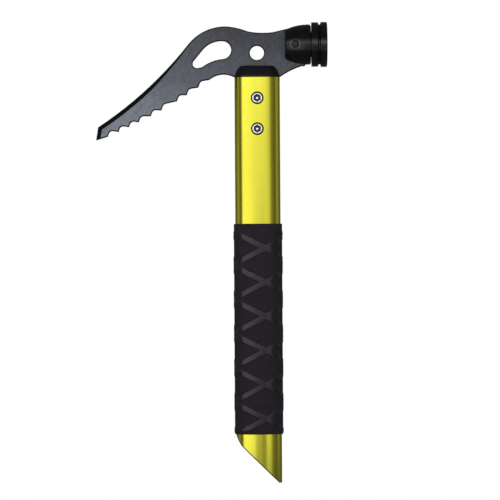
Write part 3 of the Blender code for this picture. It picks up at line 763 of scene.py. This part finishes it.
class HAMMER_OT_handle_tube(bpy.types.Operator):
    """Build the oval tube with its screw holes and the angled cut that makes the spike"""

    bl_idname = "hammer.handle_tube"
    bl_label = "Handle Tube"

    WALL = 1.8 * MM
    HOLE_ROOM = 0.45 * MM
    BELT = 1.0 * MM
    TIP_FLAT = 1.75 * MM
    HEEL_RADIUS = 18.0 * MM
    HEEL_BEYOND = 0.6 * MM
    HEEL_STEPS = 24
    HEEL_NEAR = 0.1 * MM
    HEEL_LIMIT = 0.99 * CUT_MARGIN
    ANGLE = math.radians(44.5)
    EDGE = 0.2 * MM
    # Band of painted shade along the cut: full up to the first distance from the cut, gone by the second
    SHADE_RIM = (0.55 * MM, 0.75 * MM)
    TUBE_SMOOTH = math.radians(20)

    def execute(self, context):
        top, bottom = TUBE_HIGH.z, TUBE_LOW.z
        _, _, heights, radii = zip(*(round_span(end + "_front_washer") for end in ENDS))
        hole = 2 * radii[0] + self.HOLE_ROOM
        reach = hole / 2 + self.BELT
        belts = sorted((z + away for z in heights for away in (-reach, reach)), reverse=True)
        outside = [(z, TUBE_WIDTH, TUBE_DEPTH) for z in (top, *belts, bottom)]
        bore = (TUBE_WIDTH - 2 * self.WALL, TUBE_DEPTH - 2 * self.WALL)
        tube = oval_ring(outside + [(bottom, *bore), (top, *bore)])
        holes = [rod_across(hole, -TUBE_DEPTH, TUBE_DEPTH, z) for z in heights]
        tube = carve(tube, [self.spike_cutter(), *holes])
        soften(tube, self.EDGE, above=40)
        material = anodised(context.scene.hammer.handle, self.cut_shade_share)
        finished("handle_tube", tube, "shaft_tube", [material], self.TUBE_SMOOTH)
        return {"FINISHED"}

    def cut_corners(self):
        """The tip, the direction of the oblique cut and the corner at its heel."""
        tip = Vector((TUBE_WIDTH / 2 - self.TIP_FLAT, 0, TUBE_LOW.z))
        down = Vector((math.cos(self.ANGLE), 0, -math.sin(self.ANGLE)))
        return tip, down, tip - (TUBE_WIDTH - self.TIP_FLAT + self.HEEL_BEYOND) / down.x * down

    def cut_shade_share(self, finish):
        """1 on the rim of the oblique cut and its round heel, where painted shade darkens the tube, and 0
        away from it.
        """
        tip, down, heel = self.cut_corners()
        sine, cosine = -down.z, down.x
        x, _, z = finish.axes()
        level = finish.math("MULTIPLY_ADD", z, cosine, -(tip.x * sine + tip.z * cosine))
        straight = finish.spread(finish.math("MULTIPLY_ADD", x, sine, level), *self.SHADE_RIM, 1.0, 0.0)
        centre_x = heel.x + self.HEEL_RADIUS
        centre_z = tip.z + (self.HEEL_RADIUS - (centre_x - tip.x) * sine) / cosine
        inside = finish.math("SUBTRACT", self.HEEL_RADIUS, finish.from_axis(centre_x, centre_z))
        left = finish.math("LESS_THAN", x, centre_x - self.HEEL_RADIUS * sine)
        below = finish.math("LESS_THAN", z, centre_z)
        round_rim = finish.math("MULTIPLY", finish.spread(inside, *self.SHADE_RIM, 1.0, 0.0), left)
        return finish.math("MAXIMUM", straight, finish.math("MULTIPLY", round_rim, below))

    def spike_cutter(self):
        """What the oblique cut takes away, with a round heel on the side away from the tip."""
        tip, down, heel = self.cut_corners()
        corners = [heel + Vector((0, 0, CUT_MARGIN)), heel, tip + CUT_MARGIN * down]
        corners += [Vector((heel.x - CUT_MARGIN, 0, corners[i].z)) for i in (2, 0)]
        bm = bmesh.new()
        face = bm.faces.new([bm.verts.new(corner - Vector((0, TUBE_DEPTH, 0))) for corner in corners])
        swept = bmesh.ops.extrude_face_region(bm, geom=[face])["geom"]
        far = [v for v in swept if isinstance(v, bmesh.types.BMVert)]
        bmesh.ops.translate(bm, vec=(0, 2 * TUBE_DEPTH, 0), verts=far)
        edge = [e for e in bm.edges if all((v.co.xz - heel.xz).length < self.HEEL_NEAR for v in e.verts)]
        run = self.HEEL_RADIUS * math.tan((math.pi / 2 - self.ANGLE) / 2)
        bmesh.ops.bevel(
            bm, geom=edge, offset=min(run, self.HEEL_LIMIT), offset_type="OFFSET", affect="EDGES",
            segments=self.HEEL_STEPS, profile=0.5, material=-1, clamp_overlap=False,
        )
        bmesh.ops.recalc_face_normals(bm, faces=bm.faces)
        return bm


class HAMMER_OT_grip(bpy.types.Operator):
    """Build the rubber sleeve with its raised ribs, which cross in diamonds round the handle"""

    bl_idname = "hammer.grip"
    bl_label = "Ribbed Grip"

    WALL = 0.7 * MM
    FIRST_CROSSING = -126.8 * MM
    CROSSING_OFFSET = -5.0 * MM
    PLAIN_TOP = 4.5 * MM
    PLAIN_END = 0.8 * MM
    RIB_FADE = 0.8 * MM
    RIB_SIDE = 0.36
    LINES = (0, 0.19, 0.37, 0.55, 0.70, 0.80, 0.90, 1.0)
    BETWEEN = 8
    END_LINES = (0.12 * MM, 0.3 * MM)
    END_ROUNDING = 0.2 * MM
    SEAM_WELD = 5 * WELD

    def execute(self, context):
        settings = context.scene.hammer.handle
        self.path = OvalPath(GRIP_WIDTH, GRIP_DEPTH)
        self.round = self.path.length / settings.rib_rounds
        self.rise = settings.rib_rise
        self.foot = settings.rib_width / 2 * math.hypot(1 / self.round, 1 / self.rise)
        self.height = settings.rib_height
        self.start = self.path.length / 2 + self.CROSSING_OFFSET
        bm = self.lattice()
        self.wrap(bm)
        self.line(bm)
        finished("ribbed_grip", bm, "grip_sleeve", [rubber(settings)])
        return {"FINISHED"}

    def shares(self, first, last):
        """Where the mesh lines of one rib family lie, counted in ribs."""
        within = [s * self.foot for s in self.LINES]
        step = (1 - 2 * self.foot) / (self.BETWEEN + 1)
        plain = [self.foot + step * i for i in range(1, self.BETWEEN + 1)]
        one = sorted(within + plain + [1 - s for s in within[1:]])
        return [n + s for n in range(first, last) for s in one]

    def lattice(self):
        """A flat net of lines along both rib families, cut to the sleeve's unrolled rectangle."""
        low, high = GRIP_LOW.z, GRIP_HIGH.z
        count = math.ceil(self.path.length / self.round + (high - low) / self.rise) + 2
        lines = self.shares(-count, count)
        steps = len(lines) - 1
        bm = bmesh.new()
        bmesh.ops.create_grid(bm, x_segments=steps, y_segments=steps, size=1)
        for vert in bm.verts:
            u, v = (lines[round((place + 1) / 2 * steps)] for place in vert.co.xy)
            vert.co.x = self.start + (u + v) / 2 * self.round
            vert.co.y = self.FIRST_CROSSING + (u - v) / 2 * self.rise
        cut_plane(bm, (0, 0, 0), (-1, 0, 0))
        cut_plane(bm, (self.path.length, 0, 0), (1, 0, 0))
        cut_plane(bm, (0, low, 0), (0, -1, 0))
        cut_plane(bm, (0, high, 0), (0, 1, 0))
        near, far = self.END_LINES
        for z in (low + near, low + far, high - far, high - near):
            cut_plane(bm, (0, z, 0), (0, 1, 0), clear=False)
        return bm

    def rib_share(self, distance, z):
        """0 between the ribs and 1 on top of one."""
        along, up = (distance - self.start) / self.round, (z - self.FIRST_CROSSING) / self.rise
        off = min(abs(line - round(line)) for line in (along + up, along - up)) / self.foot
        share = min(max((1 - off) / self.RIB_SIDE, 0), 1)
        return share * share * (3 - 2 * share)

    def wrap(self, bm):
        """Lays the net round the handle, raises its ribs and joins its seam."""
        rib = bm.verts.layers.float.new("rib")
        for vert in bm.verts:
            distance, z = vert.co.xy
            above, below = z - GRIP_LOW.z, GRIP_HIGH.z - z
            ribbed = min(above - self.PLAIN_END, below - self.PLAIN_TOP) / self.RIB_FADE
            share = self.rib_share(distance, z) * min(max(ribbed, 0), 1)
            end = min(above, below) / self.END_LINES[1]
            rounding = self.END_ROUNDING * (1 - min(end, 1)) ** 2
            spot = self.path.place(distance, share * self.height - rounding)
            vert.co = (spot.x, spot.y, z)
            vert[rib] = share
        weld(bm, self.SEAM_WELD)

    def line(self, bm):
        """Closes the sleeve with its smooth bore."""
        rims = [e for e in bm.edges if e.is_boundary]
        made = bmesh.ops.extrude_edge_only(bm, edges=rims)["geom"]
        across, deep = (
            (size - 2 * self.WALL) / (size - 2 * self.END_ROUNDING) for size in (GRIP_WIDTH, GRIP_DEPTH)
        )
        for vert in made:
            if isinstance(vert, bmesh.types.BMVert):
                vert.co.x *= across
                vert.co.y *= deep
        bmesh.ops.bridge_loops(bm, edges=[e for e in bm.edges if e.is_boundary])
        bmesh.ops.recalc_face_normals(bm, faces=bm.faces)


class HAMMER_OT_fasteners(bpy.types.Operator):
    """Build the sleeve nuts, the screws and the washers under their heads"""

    bl_idname = "hammer.fasteners"
    bl_label = "Screws, Nuts and Washers"

    AXIS = Vector((0, 1, 0))
    HEAD_HEIGHT = 2.6 * MM
    RIM_STEPS = 5
    SLEEVE_RADIUS = 2.9 * MM
    SLEEVE_BORE = 2.0 * MM
    SHANK_RADIUS = 1.7 * MM
    SHANK_CHAMFER = 0.3 * MM
    EYE_RADIUS = 1.0 * MM
    EYE_LENGTH = 0.45 * MM
    NOSE_RADIUS = 0.9 * MM
    NOSE_LENGTH = 0.6 * MM
    # Of the nose's round end: mm from its tip, and mm within its radius
    NOSE_END = ((0.3, 0), (0.12, 0.12), (0.03, 0.45), (0, 0.9))
    NUT_SOCKET = (4.5 * MM, 1.8 * MM)
    SCREW_SOCKET = (3.0 * MM, 1.5 * MM)
    SOCKET_LIP = 0.15 * MM
    SOCKET_ROOM = (0.05 * MM, 0.1 * MM)
    WASHER_ROOM = 0.3 * MM
    EDGE = 0.12 * MM

    def execute(self, context):
        settings = context.scene.hammer.fasteners
        bright = [bright_steel(settings), socket_shade_steel(settings)]
        black = black_steel("Black Washer", settings.washer_colour, 0.35, 0.15)
        for end in ENDS:
            self.make_nut(end, settings.head_edge, bright)
            self.make_screw(end, settings.head_edge, bright)
            for side in ("front", "rear"):
                self.make_washer(end, side, black)
        return {"FINISHED"}

    def head_rim(self, head, top, inwards, edge):
        """The rounded rim of a head, from its flat top to its side."""
        turns = (math.pi / 2 * i / self.RIM_STEPS for i in range(self.RIM_STEPS + 1))
        return [(top + inwards * edge * (1 - math.cos(a)), head - edge + edge * math.sin(a)) for a in turns]

    def cut_socket(self, bm, size, top, inwards, height):
        """Cuts a hexagon socket, and gives its walls and floor the second, darker steel, partly painted
        shade in the recess.
        """
        flats, depth = size
        corners = flats / math.cos(math.pi / 6)
        reach = sorted((top + inwards * depth, top - inwards * CUT_MARGIN))
        bm = carve(bm, [rod_across(corners, *reach, height, sides=6)])
        soften(bm, self.EDGE, above=50)
        # Faces deep in the socket take the darker steel, partly painted shade of the recess
        beside, beneath = self.SOCKET_ROOM
        for face in bm.faces:
            middle = face.calc_center_median()
            deep = (middle.y - top) * inwards
            out = math.hypot(middle.x, middle.z - height)
            if self.SOCKET_LIP < deep < depth + beneath and out < corners / 2 + beside:
                face.material_index = 1
        return bm

    def make_nut(self, end, edge, materials):
        top, tip, height, head = round_span(end + "_sleeve_nut")
        seat = top + self.HEAD_HEIGHT
        floor = top + self.NUT_SOCKET[1] + self.EYE_LENGTH
        profile = self.head_rim(head, top, 1, edge) + [
            (seat, head), (seat, self.SLEEVE_RADIUS), (tip, self.SLEEVE_RADIUS), (tip, self.SLEEVE_BORE),
            (floor, self.SLEEVE_BORE), (floor, self.EYE_RADIUS), (top, self.EYE_RADIUS),
        ]
        bm = turned(profile, self.AXIS, (0, 0, height), SMALL_TURN_STEPS, closed=True)
        bm = self.cut_socket(bm, self.NUT_SOCKET, top, 1, height)
        finished(end + "_nut", bm, end + "_sleeve_nut", materials)

    def make_screw(self, end, edge, materials):
        tip, top, height, head = round_span(end + "_screw")
        seat, nose = top - self.HEAD_HEIGHT, tip + self.NOSE_LENGTH
        shank, chamfer = self.SHANK_RADIUS, self.SHANK_CHAMFER
        profile = [(top, 0)] + self.head_rim(head, top, -1, edge) + [
            (seat, head), (seat, shank), (nose + chamfer, shank), (nose, shank - chamfer),
            (nose, self.NOSE_RADIUS),
        ]
        profile += [(tip + along * MM, self.NOSE_RADIUS - within * MM) for along, within in self.NOSE_END]
        bm = turned(profile, self.AXIS, (0, 0, height), SMALL_TURN_STEPS)
        bm = self.cut_socket(bm, self.SCREW_SOCKET, top, -1, height)
        finished(end + "_bolt", bm, end + "_screw", materials)

    def make_washer(self, end, side, material):
        front, rear, height, outer = round_span(f"{end}_{side}_washer")
        inner = self.WASHER_ROOM + (self.SLEEVE_RADIUS if side == "front" else self.SHANK_RADIUS)
        profile = [(front, inner), (front, outer), (rear, outer), (rear, inner)]
        bm = turned(profile, self.AXIS, (0, 0, height), SMALL_TURN_STEPS, closed=True)
        soften(bm, self.EDGE, above=50)
        finished(f"{end}_{side}_ring", bm, f"{end}_{side}_washer", [material])


class HAMMER_OT_studio(bpy.types.Operator):
    """Set up the white floor, the screen round the camera, the lamp and the camera"""

    bl_idname = "hammer.studio"
    bl_label = "Studio"

    VIEW_CENTRE = (-5.25 * MM, -128.0 * MM)
    LEAN = 0.00597
    SENSOR = 36.0
    CLIP_END = 100
    KEY_PLACE = (-0.5, -2.2, 1.3)
    KEY_TARGET = (0, 0, -0.05)
    KEY_SIZE = (1.6, 1.0)
    WHITE = (1, 1, 1, 1)
    FLOOR_HEIGHT = TUBE_LOW.z - 0.026
    FLOOR_REACH = 8.0
    FLOOR_STEPS = 64
    FLOOR_COLOUR = (0.9, 0.9, 0.9)
    FLOOR_FADE = (0.12, 0.45)
    FLOOR_GLOW = (0.8, 1.0)
    SCREEN_RADIUS = 1.5
    SCREEN_DEPTH = 1.42
    SCREEN_STEPS = 96
    SCREEN_HEIGHT = FLOOR_HEIGHT + 2 * MM
    PROFILE_REACH = 180
    WINDOW_PEAK = 2.0
    # Brightness on the screen, as pairs of degrees from the middle of the view and shares of the peak
    WINDOW_ACROSS = (
        (-53, 0.0), (-45, 1.12), (-18, 1.08), (0, 0.97), (12, 0.9), (20, 0.62), (27, 0.62), (31, 0.26),
        (37, 0.11), (46, 0.06), (58, 0.0),
    )
    WINDOW_UP = (
        (-22, 0.0), (-16, 0.55), (-7, 0.57), (-2, 0.47), (1.3, 0.44), (3.7, 0.40), (5.7, 0.37), (9, 0.56),
        (14, 1.0), (19, 0.75), (26, 0.25), (36, 0.0),
    )
    STAND_ACROSS = ((-3.5, 0.0), (0.5, 0.88), (10, 0.85), (14, 0.0))
    STAND_UP = ((-4, 1.0), (-2, 0.9), (0, 0.5), (1.3, 0.25), (3, 0.0))
    SIDES_ACROSS = (
        (-115, 0.0), (-100, 0.085), (-80, 0.085), (-68, 0.0), (68, 0.0), (80, 0.085), (100, 0.085),
        (115, 0.0),
    )
    SIDES_UP = ((-20, 0.0), (-8, 1.0), (25, 1.0), (40, 0.0))

    def execute(self, context):
        settings = context.scene.hammer.studio
        self.set_world(context.scene, settings)
        self.make_floor()
        self.make_screen(settings)
        self.add_key_lamp(context.scene, settings)
        self.add_camera(context.scene, settings)
        context.scene.view_settings.view_transform = "Standard"
        return {"FINISHED"}

    def set_world(self, scene, settings):
        """Even light for the hammer, and plain white wherever the background itself is seen."""
        scene.world = bpy.data.worlds.new("Studio")
        tree = NodeTree(scene.world)
        lit = tree.nodes["Background"]
        tree.fill(lit.inputs["Color"], self.WHITE)
        tree.fill(lit.inputs["Strength"], settings.sky_level)
        white = tree.node("Background", Color=self.WHITE, Strength=1)
        tree.show("World Output", tree.node("MixShader", tree.seen(), lit.outputs[0], white.outputs[0]))

    def make_floor(self):
        """A white floor that keeps a soft shadow under the hammer and fades into the background."""
        finish = Finish("Studio White", self.FLOOR_COLOUR, 0.9)
        away = finish.node("VectorMath", finish.place, operation="LENGTH").outputs["Value"]
        fade = finish.spread(away, *self.FLOOR_FADE, *self.FLOOR_GLOW)
        share = finish.math("MULTIPLY", finish.seen(), fade)
        paint, glow = finish.shader.outputs[0], finish.node("Emission").outputs[0]
        finish.show("Material Output", finish.node("MixShader", share, paint, glow))
        bm = bmesh.new()
        bmesh.ops.create_circle(
            bm, cap_ends=True, radius=self.FLOOR_REACH, segments=self.FLOOR_STEPS,
            matrix=Matrix.Translation((0, 0, self.FLOOR_HEIGHT)),
        )
        self.stage_piece("studio_floor", bm, finish.material)

    def stage_piece(self, name, bm, material):
        piece = linked(name, bm)
        piece.data.materials.append(material)
        return piece

    def make_screen(self, settings):
        """A round tent that only mirror-like surfaces see: dark, with a soft bright window, open behind."""
        finish = Finish("Studio Screen", (0, 0, 0), 1.0)
        x, y, z = finish.axes()
        ahead = finish.math("MULTIPLY", y, -1)
        out = finish.math("SQRT", finish.math("MULTIPLY_ADD", x, x, finish.math("MULTIPLY", ahead, ahead)))
        turn = finish.math("ARCTAN2", x, ahead)
        rise = finish.math("ARCTAN2", finish.math("SUBTRACT", z, self.VIEW_CENTRE[1]), out)
        window, stand, sides = (
            finish.math("MULTIPLY", self.profile(finish, turn, across), self.profile(finish, rise, up))
            for across, up in (
                (self.WINDOW_ACROSS, self.WINDOW_UP), (self.STAND_ACROSS, self.STAND_UP),
                (self.SIDES_ACROSS, self.SIDES_UP),
            )
        )
        level = finish.math("MULTIPLY_ADD", window, finish.math("SUBTRACT", 1.0, stand), sides)
        strength = finish.math(
            "MULTIPLY_ADD", level, settings.screen_level * self.WINDOW_PEAK, settings.screen_dark
        )
        finish.show("Material Output", finish.node("Emission", Strength=strength))
        finish.nodes.remove(finish.shader)
        bm = bmesh.new()
        bmesh.ops.create_uvsphere(
            bm, u_segments=self.SCREEN_STEPS, v_segments=self.SCREEN_STEPS, radius=self.SCREEN_RADIUS,
            matrix=Matrix.Translation((0, 0, self.VIEW_CENTRE[1])),
        )
        cut_plane(bm, (0, 0, self.SCREEN_HEIGHT), (0, 0, -1))
        bmesh.ops.create_circle(
            bm, cap_ends=True, radius=self.SCREEN_RADIUS, segments=self.SCREEN_STEPS,
            matrix=Matrix.Translation((0, 0, self.SCREEN_HEIGHT)),
        )
        cut_plane(bm, (0, self.SCREEN_DEPTH, 0), (0, 1, 0))
        screen = self.stage_piece("studio_screen", bm, finish.material)
        screen.visible_camera = False
        screen.visible_diffuse = False
        screen.visible_shadow = False
        screen.visible_transmission = False

    def profile(self, finish, angle, stops):
        """Brightness along an angle, from pairs of degrees and shares of the peak."""
        reach = self.PROFILE_REACH
        share = finish.spread(angle, -math.radians(reach), math.radians(reach))
        return finish.ramp(share, [((degrees + reach) / (2 * reach), level) for degrees, level in stops])

    def add_key_lamp(self, scene, settings):
        data = bpy.data.lights.new("Key Lamp", "AREA")
        data.shape = "RECTANGLE"
        data.size, data.size_y = self.KEY_SIZE
        data.energy = settings.key_power
        lamp = bpy.data.objects.new("Key Lamp", data)
        scene.collection.objects.link(lamp)
        aim = (Vector(self.KEY_TARGET) - Vector(self.KEY_PLACE)).to_track_quat("-Z", "Y")
        lamp.matrix_world = Matrix.Translation(self.KEY_PLACE) @ aim.to_matrix().to_4x4()
        lamp.visible_camera = False
        lamp.visible_glossy = False

    def add_camera(self, scene, settings):
        data = bpy.data.cameras.new("Camera")
        data.sensor_width = self.SENSOR
        data.lens = self.SENSOR * settings.camera_distance / settings.view_width
        data.clip_end = self.CLIP_END
        camera = bpy.data.objects.new("Camera", data)
        scene.collection.objects.link(camera)
        right = Vector((1, 0, -self.LEAN)).normalized()
        up = Vector((self.LEAN, 0, 1)).normalized()
        turn = Matrix((right, up, right.cross(up))).transposed().to_4x4()
        x, z = self.VIEW_CENTRE
        camera.matrix_world = Matrix.Translation((x, -settings.camera_distance, z)) @ turn
        scene.camera = camera


OPERATORS = (
    HAMMER_OT_pick_plate, HAMMER_OT_poll, HAMMER_OT_collar, HAMMER_OT_handle_tube, HAMMER_OT_grip,
    HAMMER_OT_fasteners, HAMMER_OT_studio,
)


class HAMMER_PT_sidebar(bpy.types.Panel):
    """Lists the hammer's pieces and settings"""

    bl_idname = "HAMMER_PT_sidebar"
    bl_label = "Piton Hammer"
    bl_space_type = "VIEW_3D"
    bl_region_type = "UI"
    bl_category = "Piton Hammer"

    def draw(self, context):
        column = self.layout.column(align=True)
        for operator in OPERATORS:
            column.operator(operator.bl_idname)
        for name in ("head", "handle", "fasteners", "studio"):
            group = getattr(context.scene.hammer, name)
            box = self.layout.box()
            box.label(text=name.title())
            for key in group.bl_rna.properties.keys():
                if key not in ("rna_type", "name"):
                    box.prop(group, key)


CLASSES = (
    HeadSettings, HandleSettings, FastenerSettings, StudioSettings, HammerSettings, *OPERATORS,
    HAMMER_PT_sidebar,
)


def register():
    for cls in CLASSES:
        bpy.utils.register_class(cls)
    bpy.types.Scene.hammer = bpy.props.PointerProperty(type=HammerSettings)


def unregister():
    del bpy.types.Scene.hammer
    for cls in reversed(CLASSES):
        bpy.utils.unregister_class(cls)


def main():
    register()
    bpy.ops.hammer.pick_plate()
    bpy.ops.hammer.poll()
    bpy.ops.hammer.collar()
    bpy.ops.hammer.handle_tube()
    bpy.ops.hammer.grip()
    bpy.ops.hammer.fasteners()
    bpy.ops.hammer.studio()


if __name__ == "__main__":
    main()
